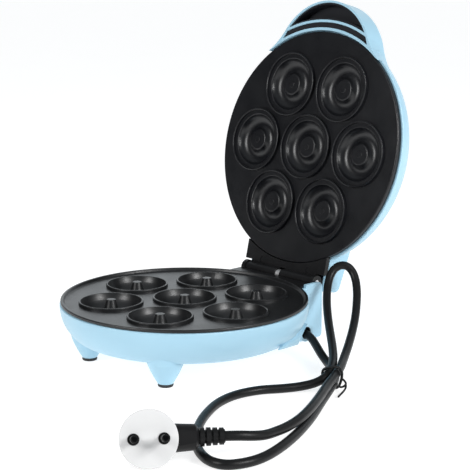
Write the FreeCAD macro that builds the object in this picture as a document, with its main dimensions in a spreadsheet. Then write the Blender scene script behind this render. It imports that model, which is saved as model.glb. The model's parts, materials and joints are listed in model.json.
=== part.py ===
import FreeCAD, Part
import math
import os
import Sketcher
from FreeCAD import Vector, Placement, Rotation

# Table-top donut maker: a round cooking base with seven ring cups, a domed lid
# hinged at the back, and a mains cord with a round two-pin plug.
# Millimetres, +y points to the hinge. Everything is drawn about the axis of the
# base plate with the lid closed and the table at table_z; at the end the lid is
# stood open and the origin moves to the table under the middle of the open box.

doc = FreeCAD.newDocument("DonutMaker")
sheet = doc.addObject("Spreadsheet::Sheet", "Dims")


class Q:
    """A size from the sheet: its value and the expression that gives it."""

    def __init__(self, value, text):
        self.v = float(value)
        self.e = text

    def __add__(self, o):
        o = q(o)
        return Q(self.v + o.v, "(%s + %s)" % (self.e, o.e))

    def __radd__(self, o):
        return q(o) + self

    def __sub__(self, o):
        o = q(o)
        return Q(self.v - o.v, "(%s - %s)" % (self.e, o.e))

    def __rsub__(self, o):
        return q(o) - self

    def __mul__(self, o):
        o = q(o)
        return Q(self.v * o.v, "(%s * %s)" % (self.e, o.e))

    def __rmul__(self, o):
        return q(o) * self

    def __neg__(self):
        return Q(-self.v, "(0 - %s)" % self.e)


def q(x):
    if isinstance(x, Q):
        return x
    return Q(x, "%.6g" % x if x >= 0 else "(0 - %.6g)" % -x)


row = [0]


def dim(alias, value):
    row[0] += 1
    sheet.set("A%d" % row[0], alias)
    sheet.set("B%d" % row[0], repr(value))
    sheet.setAlias("B%d" % row[0], alias)
    return Q(value, "Dims." + alias)


# ---------------------------------------------------------------- dimensions
table_z = dim("table_height", 2.1)
plate_r = dim("plate_radius", 95.0)
rim_top = dim("base_rim_top", 50.5)
rim_low = dim("base_rim_bottom", 48.15)
deck_z = dim("base_deck_height", 48.2)
deck_t = dim("plate_thickness", 2.2)
ring_r = dim("cup_ring_radius", 57.0)
ring_n = dim("cup_ring_count", 6)
cup_r = dim("cup_lip_radius", 24.0)
post_z = dim("post_top", 51.5)
lid_lip = dim("lid_lip_height", 50.85)
lid_cup_r = dim("lid_cup_lip_radius", 25.1)
bead_z = dim("lid_bead_height", 48.75)
lid_deck = dim("lid_deck_height", 52.0)
bowl_low = dim("bowl_bottom", 20.5)
bowl_top = dim("bowl_top", 47.9)
bowl_r = dim("bowl_top_radius", 95.6)
bowl_sr = dim("bowl_side_radius", 30.0)
bowl_sz = dim("bowl_side_centre_height", 46.0)
bowl_fr = dim("bowl_corner_radius", 14.0)
wall = dim("shell_wall", 2.2)
leg_x = dim("leg_x", 44.5)
leg_y = dim("leg_y", 58.5)
foot_t = dim("foot_height", 2.5)
hinge_x = dim("hinge_middle_x", -1.3)
block_x = dim("block_half_width", 43.3)
block_y = dim("block_back", 110.0)
block_low = dim("block_bottom", 5.6)
hinge_y = dim("hinge_y", 106.6)
hinge_z = dim("hinge_z", 49.4)
open_deg = dim("lid_open_angle", 103.4)
pin_r = dim("hinge_pin_radius", 2.4)
barrel_r = dim("hinge_barrel_radius", 5.0)
barrel_x = dim("hinge_barrel_end", 36.5)
ear_x = dim("hinge_ear_outside", 40.5)
tab_x = dim("lid_bracket_half_width", 44.7)
collar_r = dim("hinge_pin_collar_radius", 3.9)
dome_low = dim("dome_edge_height", 56.0)
dome_top = dim("dome_top", 88.6)
dome_cr = dim("dome_side_centre_radius", 62.0)
dome_cz = dim("dome_side_centre_height", 51.4)
dome_fr = dim("dome_side_radius", 35.0)
grip_r = dim("grip_radius", 51.4)
grip_y = dim("grip_centre_y", 69.0)
grip_top = dim("grip_top", 75.5)
grip_low = dim("grip_bottom", 51.0)
boss_ring = dim("screw_circle_radius", 33.0)
refl_z = dim("base_reflector_height", 26.5)
refl_t = dim("reflector_thickness", 0.6)
heat_r = dim("heater_tube_radius", 3.2)
lid_heat_z = dim("lid_heater_height", 68.4)
base_heat_z = dim("base_heater_height", 33.0)
lid_refl_z = dim("lid_reflector_height", 72.2)
cord_d = dim("cord_diameter", 6.5)
face_r = dim("plug_face_radius", 18.5)
face_t = dim("plug_face_thickness", 1.6)
pin_gap = dim("plug_pin_spacing", 19.0)
plug_pin_r = dim("plug_pin_radius", 2.4)
plug_pin_l = dim("plug_pin_length", 19.0)
outlet_y = dim("cord_outlet_y", 69.5)
outlet_z = dim("cord_outlet_z", 20.6)
origin_y = dim("origin_from_plate_axis", 43.77)
doc.recompute()

UP = Vector(0, 0, 1)
ALONG_X = Rotation(Vector(0, 1, 0), 90)
nodes = []


# ---------------------------------------------------------------- helpers
def bind(obj, prop, x):
    x = q(x)
    obj.setExpression(prop, x.e)


def body(name):
    return doc.addObject("PartDesign::Body", name)


def role(b, name):
    for f in b.Origin.OriginFeatures:
        if f.Role == name:
            return f
    raise RuntimeError("no origin feature " + name)


def sketch(b, plane, off=0.0):
    sk = b.newObject("Sketcher::SketchObject", b.Name + "_sketch")
    sk.AttachmentSupport = [(role(b, plane), "")]
    sk.MapMode = "FlatFace"
    off = q(off)
    if off.v:
        sk.AttachmentOffset = Placement(Vector(0, 0, off.v), Rotation())
        sk.setExpression("AttachmentOffset.Base.z", off.e)
    return sk


def hold(sk, geo, pos, x, y):
    """Fix one point of the sketch at x, y from the sketch origin."""
    for kind, val, axis in (("DistanceX", q(x), -2), ("DistanceY", q(y), -1)):
        if abs(val.v) < 1e-9:
            sk.addConstraint(Sketcher.Constraint("PointOnObject", geo, pos, axis))
            continue
        if val.v > 0:
            i = sk.addConstraint(Sketcher.Constraint(kind, -1, 1, geo, pos, val.v))
        else:
            val = -val
            i = sk.addConstraint(Sketcher.Constraint(kind, geo, pos, -1, 1, val.v))
        if "Dims." in val.e:
            sk.setExpression("Constraints[%d]" % i, val.e)


def profile(sk, pts):
    """Closed outline. A point is (x, y), or (x, y, radius, side) when an arc
    arrives at it: side 1 has the arc's centre on the left of the way."""
    n = len(pts)
    xy = [Vector(q(p[0]).v, q(p[1]).v, 0) for p in pts]
    made = []
    for i in range(n):
        j = (i + 1) % n
        a, b = xy[i], xy[j]
        arc = pts[j][2:]
        if arc:
            r, side = q(arc[0]), arc[1]
            d = b - a
            rise = math.sqrt(max(r.v ** 2 - (d.Length / 2) ** 2, 0.0))
            nrm = Vector(-d.y, d.x, 0)
            nrm.normalize()
            c = (a + b) * 0.5 + nrm * (rise * side)
            ta = math.atan2(a.y - c.y, a.x - c.x)
            tb = math.atan2(b.y - c.y, b.x - c.x)
            circ = Part.Circle(c, UP, r.v)
            if side > 0:
                g = sk.addGeometry(Part.ArcOfCircle(circ, ta, tb), False)
                made.append((g, 1, 2, r))
            else:
                g = sk.addGeometry(Part.ArcOfCircle(circ, tb, ta), False)
                made.append((g, 2, 1, r))
        else:
            g = sk.addGeometry(Part.LineSegment(a, b), False)
            made.append((g, 1, 2, None))
    for i in range(n):
        j = (i + 1) % n
        sk.addConstraint(Sketcher.Constraint("Coincident", made[i][0], made[i][2], made[j][0], made[j][1]))
    for i in range(n):
        hold(sk, made[i][0], made[i][1], pts[i][0], pts[i][1])
    for g, s, e, r in made:
        if r is not None:
            k = sk.addConstraint(Sketcher.Constraint("Radius", g, r.v))
            if "Dims." in r.e:
                sk.setExpression("Constraints[%d]" % k, r.e)


def circle(sk, x, y, r):
    r = q(r)
    g = sk.addGeometry(Part.Circle(Vector(q(x).v, q(y).v, 0), UP, r.v), False)
    hold(sk, g, 3, x, y)
    k = sk.addConstraint(Sketcher.Constraint("Radius", g, r.v))
    if "Dims." in r.e:
        sk.setExpression("Constraints[%d]" % k, r.e)


def pad(b, sk, length):
    f = b.newObject("PartDesign::Pad", b.Name + "_pad")
    f.Profile = sk
    bind(f, "Length", length)
    b.Tip = f
    return f


def pocket(b, sk, length, up=False):
    f = b.newObject("PartDesign::Pocket", b.Name + "_pocket")
    f.Profile = sk
    bind(f, "Length", length)
    f.Reversed = up
    b.Tip = f
    return f


def turned(b, sk, axis="V_Axis"):
    f = b.newObject("PartDesign::Revolution", b.Name + "_turned")
    f.Profile = sk
    f.ReferenceAxis = (sk, [axis])
    f.Angle = 360.0
    b.Tip = f
    return f


def around(b, feats, count):
    f = b.newObject("PartDesign::PolarPattern", b.Name + "_ring")
    f.Originals = feats
    f.Axis = (role(b, "Z_Axis"), [""])
    f.Angle = 360.0
    bind(f, "Occurrences", count)
    b.Tip = f
    return f


def turned_body(name, pts):
    b = body(name)
    sk = sketch(b, "XZ_Plane")
    profile(sk, pts)
    turned(b, sk)
    return b


def side_body(name, pts, half):
    """Outline in y, z carried over half on both sides of the hinge middle."""
    half = q(half)
    b = body(name)
    sk = sketch(b, "YZ_Plane", hinge_x - half)
    profile(sk, pts)
    pad(b, sk, half * 2)
    return b


def seat(obj, base, rot=None):
    base = [q(c) for c in base]
    obj.Placement = Placement(Vector(*[c.v for c in base]), rot or Rotation())
    for c, ax in zip(base, "xyz"):
        if "Dims." in c.e:
            obj.setExpression("Placement.Base." + ax, c.e)
    return obj


def box(name, lo, size):
    o = doc.addObject("Part::Box", name)
    for prop, s in zip(("Length", "Width", "Height"), size):
        bind(o, prop, s)
    return seat(o, lo)


def slab(name, half, y0, y1, z0, z1):
    half, y0, y1, z0, z1 = q(half), q(y0), q(y1), q(z0), q(z1)
    return box(name, (hinge_x - half, y0, z0), (half * 2, y1 - y0, z1 - z0))


def rod(name, r, length, base, rot=None, sweep=None):
    o = doc.addObject("Part::Cylinder", name)
    bind(o, "Radius", r)
    bind(o, "Height", length)
    if sweep:
        bind(o, "Angle", sweep)
    return seat(o, base, rot)


def cone(name, r1, r2, length, base, rot=None):
    o = doc.addObject("Part::Cone", name)
    bind(o, "Radius1", r1)
    bind(o, "Radius2", r2)
    bind(o, "Height", length)
    return seat(o, base, rot)


def fuse(name, objs):
    o = doc.addObject("Part::MultiFuse", name)
    o.Shapes = objs
    o.Refine = True
    return o


def group(name, objs):
    o = doc.addObject("Part::Compound", name)
    o.Links = objs
    return o


def cut(name, base, tool):
    o = doc.addObject("Part::Cut", name)
    o.Base = base
    o.Tool = tool
    o.Refine = True
    return o


def common(name, objs):
    o = doc.addObject("Part::MultiCommon", name)
    o.Shapes = objs
    return o


def rounded(name, base, r, pick):
    """Part fillet on the edges of base that pick() accepts."""
    doc.recompute()
    o = doc.addObject("Part::Fillet", name)
    o.Base = base
    o.Edges = [(i + 1, q(r).v, q(r).v) for i, e in enumerate(base.Shape.Edges) if pick(e)]
    return o


def ring_part(name, r_in, r_out, z0, z1):
    r_in, r_out, z0, z1 = q(r_in), q(r_out), q(z0), q(z1)
    return cut(name, rod(name + "_out", r_out, z1 - z0, (0, 0, z0)),
               rod(name + "_in", r_in, z1 - z0 + 2, (0, 0, z0 - 1)))


def node(label, obj):
    obj.Label = label
    nodes.append((label, obj))
    return obj


def spot(radius, deg):
    """x, y on a circle about the z axis, still tied to the sheet."""
    a = math.radians(deg)
    return radius * round(math.cos(a), 6), radius * round(math.sin(a), 6)


def smooth_wire(points):
    """Straight runs joined by tangent arcs; gives the wire, its length and the
    smallest arc radius."""
    P = [Vector(*p) for p in points]
    edges, last, radii = [], P[0], []
    for i in range(1, len(P) - 1):
        u, w = P[i - 1] - P[i], P[i + 1] - P[i]
        t = 0.45 * min(u.Length, w.Length)
        u.normalize()
        w.normalize()
        turn = math.pi - u.getAngle(w)
        a, b = P[i] + u * t, P[i] + w * t
        r = t / math.tan(turn / 2.0)
        radii.append(r)
        mid = u + w
        mid.normalize()
        c = P[i] + mid * math.hypot(r, t)
        m = c - mid * r
        edges.append(Part.LineSegment(last, a).toShape())
        edges.append(Part.Arc(a, m, b).toShape())
        last = b
    edges.append(Part.LineSegment(last, P[-1]).toShape())
    w = Part.Wire(edges)
    return w, w.Length, radii


def tube(points, r):
    w, length, radii = smooth_wire(points)
    d = Vector(*points[1]) - Vector(*points[0])
    ring = Part.Wire([Part.Circle(Vector(*points[0]), d, r).toShape()])
    s = w.makePipeShell([ring], True, False)
    s = s if s.ShapeType == "Solid" else s.Solids[0]
    if s.Volume < 0:
        s.reverse()
    return s, length, radii


def shaped(name, shape):
    o = doc.addObject("Part::Feature", name)
    o.Shape = shape
    o.Placement = Placement()
    return o


BOSS_DEG = (30.0, 150.0, 270.0)

# ---------------------------------------------------------------- base plate
base_plate = body("BasePlate")
sk = sketch(base_plate, "XZ_Plane")
profile(sk, [
    (0, deck_z - deck_t), (plate_r - 4.6, deck_z - deck_t), (plate_r - 4.6, 42.0), (plate_r - 2.2, 42.0),
    (plate_r - 2.2, rim_low), (plate_r - 0.6, rim_low), (plate_r, rim_low + 0.6, 0.6, 1),
    (plate_r, rim_top - 0.9), (plate_r - 0.9, rim_top, 0.9, 1), (plate_r - 1.7, rim_top),
    (plate_r - 2.4, rim_top - 0.5, 0.9, 1), (plate_r - 3.0, deck_z + 0.7), (plate_r - 3.9, deck_z, 1.1, -1), (0, deck_z)])
turned(base_plate, sk)
sk = sketch(base_plate, "XY_Plane", 60.0)
circle(sk, 0, 0, cup_r)
for k in range(6):
    x, y = spot(ring_r, 60.0 * k)
    circle(sk, x, y, cup_r)
pocket(base_plate, sk, 20.0)


def base_cup(c):
    return [(c, post_z), (c + 3.1, post_z), (c + 3.75, post_z - 0.65, 0.7, -1), (c + 6.1, 42.0), (c + 21.37, 45.7, 10.85, 1),
            (c + cup_r - 0.9, rim_top - 0.4, 16.0, 1), (c + cup_r - 0.45, rim_top, 0.5, -1), (c + cup_r, rim_top),
            (c + cup_r + 0.6, rim_top - 0.5, 0.7, -1), (c + cup_r + 0.7, deck_z + 0.3), (c + cup_r + 1.0, deck_z - deck_t),
            (c + 8.0, 38.28, 11.0, -1), (c + 5.0, 39.5), (c + 2.6, 48.5), (c, 48.5)]


sk = sketch(base_plate, "XZ_Plane")
profile(sk, base_cup(q(0)))
turned(base_plate, sk)
sk = sketch(base_plate, "XZ_Plane")
ax = sk.addGeometry(Part.LineSegment(Vector(ring_r.v, 30, 0), Vector(ring_r.v, 60, 0)), True)
hold(sk, ax, 1, ring_r, 30.0)
hold(sk, ax, 2, ring_r, 60.0)
profile(sk, base_cup(ring_r))
cup = turned(base_plate, sk, "Axis0")
around(base_plate, [cup], ring_n)
sk = sketch(base_plate, "XY_Plane", refl_z + refl_t)
for a in BOSS_DEG:
    x, y = spot(boss_ring, a)
    circle(sk, x, y, 5.0)
pad(base_plate, sk, deck_z - deck_t - refl_z - refl_t + 0.4)
sk = sketch(base_plate, "XY_Plane", refl_z + refl_t)
for a in BOSS_DEG:
    x, y = spot(boss_ring, a)
    circle(sk, x, y, 2.0)
pocket(base_plate, sk, 14.0, True)
node("base_plate", base_plate)

# ---------------------------------------------------------------- lid plate (closed position)
lid_plate = body("LidPlate")
sk = sketch(lid_plate, "XZ_Plane")
profile(sk, [
    (0, lid_deck), (plate_r - 0.9, lid_deck), (plate_r, lid_deck + 0.9, 0.9, 1), (plate_r, 55.6), (plate_r - 2.4, 55.6),
    (plate_r - 2.4, 57.6), (plate_r - 4.4, 57.6), (plate_r - 4.4, lid_deck + deck_t), (0, lid_deck + deck_t)])
turned(lid_plate, sk)
sk = sketch(lid_plate, "XY_Plane", 60.0)
circle(sk, 0, 0, cup_r)
for k in range(6):
    x, y = spot(ring_r, 60.0 * k)
    circle(sk, x, y, cup_r)
pocket(lid_plate, sk, 20.0)


def lid_cup(c):
    return [(c, 52.2), (c + 2.2, 52.2), (c + 2.6, 52.6, 0.4, 1), (c + 7.56, 52.6), (c + 8.958, 53.421, 1.6, 1), (c + 14.2, 56.5, 6.0, -1),
            (c + 21.33, lid_lip + 0.47, 7.5, -1), (c + 21.98, lid_lip, 0.7, 1), (c + lid_cup_r, lid_lip),
            (c + lid_cup_r + 0.05, bead_z + 0.5), (c + lid_cup_r + 0.55, bead_z, 0.5, 1), (c + lid_cup_r + 0.85, bead_z),
            (c + lid_cup_r + 1.35, bead_z + 0.5, 0.5, 1), (c + lid_cup_r + 1.5, lid_deck + deck_t), (c + 22.15, lid_deck + deck_t),
            (c + 14.2, 58.5, 9.5, 1), (c + 8.0, 55.56, 8.0, 1), (c + 4.5, 54.9), (c, 54.9)]


sk = sketch(lid_plate, "XZ_Plane")
profile(sk, lid_cup(q(0)))
turned(lid_plate, sk)
sk = sketch(lid_plate, "XZ_Plane")
ax = sk.addGeometry(Part.LineSegment(Vector(ring_r.v, 40, 0), Vector(ring_r.v, 70, 0)), True)
hold(sk, ax, 1, ring_r, 40.0)
hold(sk, ax, 2, ring_r, 70.0)
profile(sk, lid_cup(ring_r))
cup = turned(lid_plate, sk, "Axis0")
around(lid_plate, [cup], ring_n)
sk = sketch(lid_plate, "XY_Plane", lid_deck + 1.8)
for a in BOSS_DEG:
    x, y = spot(boss_ring, a)
    circle(sk, x, y, 5.0)
pad(lid_plate, sk, lid_refl_z - lid_deck - 1.8)
sk = sketch(lid_plate, "XY_Plane", lid_refl_z)
for a in BOSS_DEG:
    x, y = spot(boss_ring, a)
    circle(sk, x, y, 2.0)
pocket(lid_plate, sk, 14.0)
node("lid_plate", lid_plate)

# ---------------------------------------------------------------- base shell
lean = math.asin((bowl_sz.v - bowl_fr.v - bowl_low.v) / (bowl_sr.v - bowl_fr.v))
cl, sl = round(math.cos(lean), 6), round(math.sin(lean), 6)
side_r = bowl_r - bowl_sr
corner_r, corner_z = side_r + (bowl_sr - bowl_fr) * cl, bowl_low + bowl_fr


def bowl_profile(off, top):
    """Flat floor, corner arc, side arc and upright edge, off inside the outside."""
    return [(0, bowl_low + off), (corner_r, bowl_low + off),
            (side_r + (bowl_sr - off) * cl, bowl_sz - (bowl_sr - off) * sl, bowl_fr - off, 1),
            (bowl_r - off, bowl_sz, bowl_sr - off, 1)] + top


bowl = turned_body("BowlOutside", bowl_profile(q(0), [(bowl_r, bowl_top - 0.8), (bowl_r - 0.8, bowl_top, 0.8, 1), (0, bowl_top)]))
bowl_in = turned_body("BowlInside", bowl_profile(wall, [(bowl_r - wall, bowl_top + 3), (0, bowl_top + 3)]))
block = side_body("BlockOutside", [
    (70.0, 21.6), (79.0, 20.9), (83.5, block_low + 2.0), (86.5, block_low, 3.0, 1), (block_y - 3.0, block_low), (block_y, block_low + 3.0, 3.0, 1),
    (block_y, 46.0), (108.6, 49.6, 5.0, 1), (105.2, 51.0, 4.8, 1), (91.5, 51.0), (91.5, 48.4), (86.0, 48.4), (84.0, 44.0), (70.0, 44.0)], block_x)
block_in = side_body("BlockInside", [
    (86.5, block_low + 2.4), (block_y - 2.4, block_low + 2.4), (block_y - 2.4, 60.0), (97.2, 60.0), (97.2, 40.8), (82.0, 40.8), (82.0, 21.6)], block_x - 2.4)
back_cut = slab("BackOpening", block_x - 2.4, 100.0, block_y + 2.0, 43.0, 60.0)
bracket_seat = cut("BracketSeat", slab("BracketSeatSlab", ear_x + 0.2, 80.0, 97.4, 44.6, 60.0), rod("BracketSeatWall", bowl_r + 0.2, 40.0, (0, 0, 30.0)))
plate_seat = rod("PlateSeat", bowl_r + 0.2, 20.0, (0, 0, bowl_top))
cheek_trim = box("LeftCheekTrim", (hinge_x - 60.0, 82.0, 46.4), (60.0 - ear_x - 0.1, 40.0, 20.0))


def bowl_radius(z):
    """Outside radius of the bowl at a height."""
    if z < bowl_sz.v - bowl_sr.v * sl:
        return corner_r.v + math.sqrt(bowl_fr.v ** 2 - (corner_z.v - z) ** 2)
    return side_r.v + math.sqrt(bowl_sr.v ** 2 - max(bowl_sz.v - z, 0.0) ** 2)


def corner_patch(name, s):
    """Hollow sweep that joins the bowl to one side face of the block."""
    rho, face = 11.0, (hinge_x + block_x * s).v
    rings = []
    for z in (21.2, 22.4, 24.4, 27.4, 31.4, 36.0, 41.0, 46.5):
        r, f = bowl_radius(z) - 0.05, abs(face) - 0.05
        cx = f + rho
        cy = math.sqrt((r + rho) ** 2 - cx ** 2)
        k = r / (r + rho)
        a, b = Vector(f, cy, z), Vector(cx * k, cy * k, z)
        d = Vector(cx, cy, z) - (a + b) * 0.5
        d.normalize()
        m = Vector(cx, cy, z) - d * rho
        inner = Vector(f - 5.0, cy * k - 3.0, z)
        pts = [Vector(v.x * s, v.y, v.z) for v in (a, m, b, inner)]
        rings.append(Part.Wire([Part.Arc(pts[0], pts[1], pts[2]).toShape(), Part.LineSegment(pts[2], pts[3]).toShape(), Part.LineSegment(pts[3], pts[0]).toShape()]))
    return shaped(name, Part.makeLoft(rings, True, False))


legs, leg_holes = [], []
for s in (-1, 1):
    leg = turned_body("Leg%d" % (s + 2), [
        (0, table_z + foot_t), (5.8, table_z + foot_t), (13.6, table_z + foot_t + 15.7, 72.0, 1), (14.5, table_z + 24.4), (0, table_z + 24.4)])
    legs.append(seat(leg, (leg_x * s, -leg_y, 0)))
    leg_holes.append(cone("LegHollow%d" % (s + 2), 4.6, 11.4, 15.0, (leg_x * s, -leg_y, table_z + foot_t + 2.8)))
    leg_holes.append(rod("LegPlugHole%d" % (s + 2), 2.5, 5.0, (leg_x * s, -leg_y, table_z + foot_t - 1.0)))
outlet = cone("OutletBoss", 7.7, 6.9, 27.5, (36.0, outlet_y, outlet_z), ALONG_X)
fairing_way = Vector(64.0 - 90.0, 66.5 - 12.0, 21.2 - 25.0)
fairing = cone("OutletFairing", 0.6, 7.4, fairing_way.Length, (90.0, 12.0, 25.0), Rotation(UP, fairing_way))
fairing_cap = doc.addObject("Part::Sphere", "OutletFairingEnd")
bind(fairing_cap, "Radius", 7.4)
seat(fairing_cap, (64.0, 66.5, 21.2))
fairing_side = Rotation(UP, Vector(0.7436, 0.5499, -0.3803))
fairing_trim = box("OutletFairingTrim", Vector(62.9, 66.6, 21.0) - fairing_side.multVec(Vector(40.0, 40.0, 0.0)), (80.0, 80.0, 40.0))
fairing_trim.Placement = Placement(fairing_trim.Placement.Base, fairing_side)
fairing_all = cut("OutletFairingSolid", fuse("OutletFairingWhole", [fairing, fairing_cap]), fairing_trim)
outer = fuse("BaseOutside", [bowl, block] + legs + [outlet, fairing_all, corner_patch("CornerPatch1", -1), corner_patch("CornerPatch2", 1)])
inside = fuse("BaseHollow", [bowl_in, block_in, back_cut, bracket_seat, plate_seat, cheek_trim] + leg_holes)
hollow = cut("BaseHollowed", outer, inside)
bosses, holes = [], []
for i, a in enumerate(BOSS_DEG):
    x, y = spot(boss_ring, a)
    bosses.append(rod("BaseBoss%d" % i, 6.0, refl_z - bowl_low - 1.0, (x, y, bowl_low + 1.0)))
    holes.append(rod("BaseBossHole%d" % i, 2.2, 20.0, (x, y, bowl_low - 5.0)))
    holes.append(rod("BaseBossBore%d" % i, 4.1, 8.5, (x, y, bowl_low - 5.0)))
posts = []
for s in (-1, 1):
    posts.append(rod("HingePost%d" % (s + 2), 4.0, 41.0 - block_low - 1.4, (26.0 * s, 102.4, block_low + 1.4)))
    holes.append(rod("HingePostHole%d" % (s + 2), 1.5, 12.0, (26.0 * s, 102.4, 30.0)))
clamp_post = rod("ClampPost", 4.0, 2.0, (52.0, 57.0, 21.5))
holes.append(rod("ClampPostHole", 1.2, 2.6, (52.0, 57.0, 21.2)))
holes.append(box("ClampSlot", (50.6, 60.5, 23.2), (2.8, 7.0, 6.0)))
holes.append(rod("OutletChamber", 5.2, 15.0, (38.0, outlet_y, outlet_z), ALONG_X))
holes.append(box("OutletWell", (36.0, 64.6, outlet_z), (10.0, 6.4, 9.4)))
holes.append(rod("OutletBore", 4.9, 18.0, (52.0, outlet_y, outlet_z), ALONG_X))
base_shell = cut("BaseShell", fuse("BaseShellSolid", [hollow] + bosses + posts + [clamp_post]), group("BaseShellHoles", holes))
node("base_shell", base_shell)

# ---------------------------------------------------------------- feet
front_feet, rear_feet = [], []
for s in (-1, 1):
    front_feet.append(fuse("FrontFoot%d" % (s + 2), [
        seat(turned_body("FrontPad%d" % (s + 2), [
            (0, table_z), (4.8, table_z), (5.8, table_z + 1.0, 1.0, 1), (5.8, table_z + foot_t), (0, table_z + foot_t)]), (leg_x * s, -leg_y, 0)),
        rod("FrontPlug%d" % (s + 2), 2.5, 4.0, (leg_x * s, -leg_y, table_z + foot_t - 1.0))]))
    rear_feet.append(rod("RearPad%d" % (s + 2), 6.0, block_low - table_z, (24.0 * s, 98.0, table_z)))
node("front_feet", group("FrontFeet", front_feet))
node("rear_feet", group("RearFeet", rear_feet))

# ---------------------------------------------------------------- base inner pieces
refl_holes = []
for i, a in enumerate(BOSS_DEG):
    x, y = spot(boss_ring, a)
    refl_holes.append(rod("BaseReflHole%d" % i, 2.2, 4.0, (x, y, refl_z - 2)))
refl_holes.append(box("BaseReflNotch", (38.6, 50.5, refl_z - 2), (40.0, 40.0, 4.0)))
node("base_heat_reflector", cut("BaseReflector", rod("BaseReflDisc", 84.0, refl_t, (0, 0, refl_z)), group("BaseReflHoles", refl_holes)))


def heater(name, z, low, high):
    o = doc.addObject("Part::Torus", name + "_tube")
    bind(o, "Radius1", ring_r)
    bind(o, "Radius2", heat_r)
    bind(o, "Angle3", 336.0)
    seat(o, (0, 0, z), Rotation(UP, 102.0))
    ends = []
    for i, a in enumerate((100.6, 79.4)):
        x, y = spot(ring_r, a)
        ends.append(rod(name + "_end%d" % i, 1.8, q(high) - low, (x, y, low)))
    return fuse(name, [o] + ends)


node("base_heating_element", heater("BaseHeater", base_heat_z, 28.6, base_heat_z + 0.0))
screws = []
for i, a in enumerate(BOSS_DEG):
    x, y = spot(boss_ring, a)
    screws.append(fuse("BaseScrew%d" % i, [
        rod("BaseScrewHead%d" % i, 3.7, 2.6, (x, y, 21.4)), rod("BaseScrewShank%d" % i, 1.95, 16.5, (x, y, 23.5))]))
node("base_plate_screws", group("BaseScrews", screws))
node("thermostat", fuse("Thermostat", [rod("ThermostatBody", 8.0, 6.0, (0, 0, refl_z + refl_t)), rod("ThermostatCap", 6.6, 2.8, (0, 0, 33.0))]))
node("thermal_fuse", rod("ThermalFuse", 2.4, 18.0, (-34.0, -30.0, refl_z + refl_t + 2.4), ALONG_X))
wires = []
for i, pts in enumerate((
        [(50.4, 68.3, 20.9), (46.5, 68.0, 21.6), (43.0, 66.6, 26.0), (40.7, 61.5, 28.6), (40.5, 48.0, 28.6), (40.0, 22.0, 28.6),
         (36.0, 2.0, 28.6), (22.0, -14.0, 28.6), (6.0, -20.0, 28.6), (-4.0, -25.0, 28.8), (-15.8, -30.0, 29.4)],
        [(50.4, 70.7, 20.3), (46.5, 70.9, 21.4), (43.6, 69.6, 26.0), (40.9, 66.2, 28.6), (30.0, 58.5, 28.6), (12.4, 56.2, 28.5)],
        [(-8.2, 3.0, 29.4), (-14.0, 12.0, 28.6), (-16.5, 30.0, 28.6), (-12.0, 53.8, 28.5)],
        [(-34.2, -30.0, 29.4), (-42.0, -27.0, 28.8), (-42.0, -14.0, 28.6), (-26.0, -5.0, 28.6), (-8.2, -2.0, 29.2)])):
    wires.append(shaped("BaseWire%d" % i, tube(pts, 1.1)[0]))
node("base_wiring", group("BaseWires", wires))

# ---------------------------------------------------------------- cord bushing and clip
node("cord_bushing", cut("Bushing", rod("BushingOut", 4.9, 10.4, (53.0, outlet_y, outlet_z), ALONG_X),
                         fuse("BushingHole", [rod("BushingIn", cord_d * 0.5, 6.0, (51.0, outlet_y, outlet_z), ALONG_X),
                                              rod("BushingMouth", 4.4, 12.0, (55.4, outlet_y, outlet_z), ALONG_X)])))
clip_ring = rod("ClipRing", cord_d * 0.5 + 1.6, 1.8, (51.1, outlet_y, outlet_z), ALONG_X)
clip_tab = fuse("ClipTab", [box("ClipFoot", (48.4, 53.4, 23.5), (6.2, 6.2, 1.4)), box("ClipArm", (51.1, 59.0, 23.5), (1.8, 7.6, 1.4))])
node("cord_clamp", cut("CordClip", fuse("CordClipSolid", [clip_ring, clip_tab]), group("CordClipHoles", [
    rod("ClipBore", cord_d * 0.5, 6.0, (49.0, outlet_y, outlet_z), ALONG_X), rod("ClipScrewHole", 1.5, 6.0, (52.0, 57.0, 21.0))])))
node("cord_clamp_screw", fuse("ClipScrew", [rod("ClipScrewHead", 2.8, 1.6, (52.0, 57.0, 24.9)), rod("ClipScrewShank", 1.15, 3.6, (52.0, 57.0, 21.4))]))

# ---------------------------------------------------------------- base hinge bracket
bar_low = 41.0
deck = slab("HingeDeck", ear_x, 82.0, 100.6, 44.8, 49.8)
web = slab("HingeWeb", ear_x, 97.6, 100.6, bar_low, 49.8)
floor = slab("HingeFloor", ear_x, 97.6, 107.2, bar_low, 43.0)
ears = []
for s in (-1, 1):
    x0 = hinge_x + ((ear_x - 3.6) if s > 0 else -ear_x)
    ears.append(rod("HingeEar%d" % (s + 2), 6.0, 3.6, (x0, hinge_y, hinge_z), ALONG_X))
    ears.append(box("HingeEarFoot%d" % (s + 2), (x0, 98.0, bar_low), (3.6, 9.2, 8.6)))
bracket_cuts = [rod("HingeClear", 96.0, 40.0, (0, 0, 40.0)),
                rod("HingePinHole", pin_r, 100.0, (-50.0, hinge_y, hinge_z), ALONG_X)]
for s in (-1, 1):
    bracket_cuts.append(rod("HingeScrewHole%d" % (s + 2), 1.9, 10.0, (26.0 * s, 102.4, 36.0)))
    bracket_cuts.append(rod("HingeScrewBore%d" % (s + 2), 3.5, 3.0, (26.0 * s, 102.4, 41.9)))
node("base_hinge_bracket", cut("BaseBracket", fuse("BaseBracketSolid", [deck, web, floor] + ears), group("BaseBracketCuts", bracket_cuts)))
node("hinge_pin", fuse("HingePin", [rod("HingePinRod", pin_r, ear_x * 2, (hinge_x - ear_x, hinge_y, hinge_z), ALONG_X),
                                    rod("HingePinCollar", collar_r, 5.0, (-4.3, hinge_y, hinge_z), ALONG_X)]))
washers = []
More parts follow.
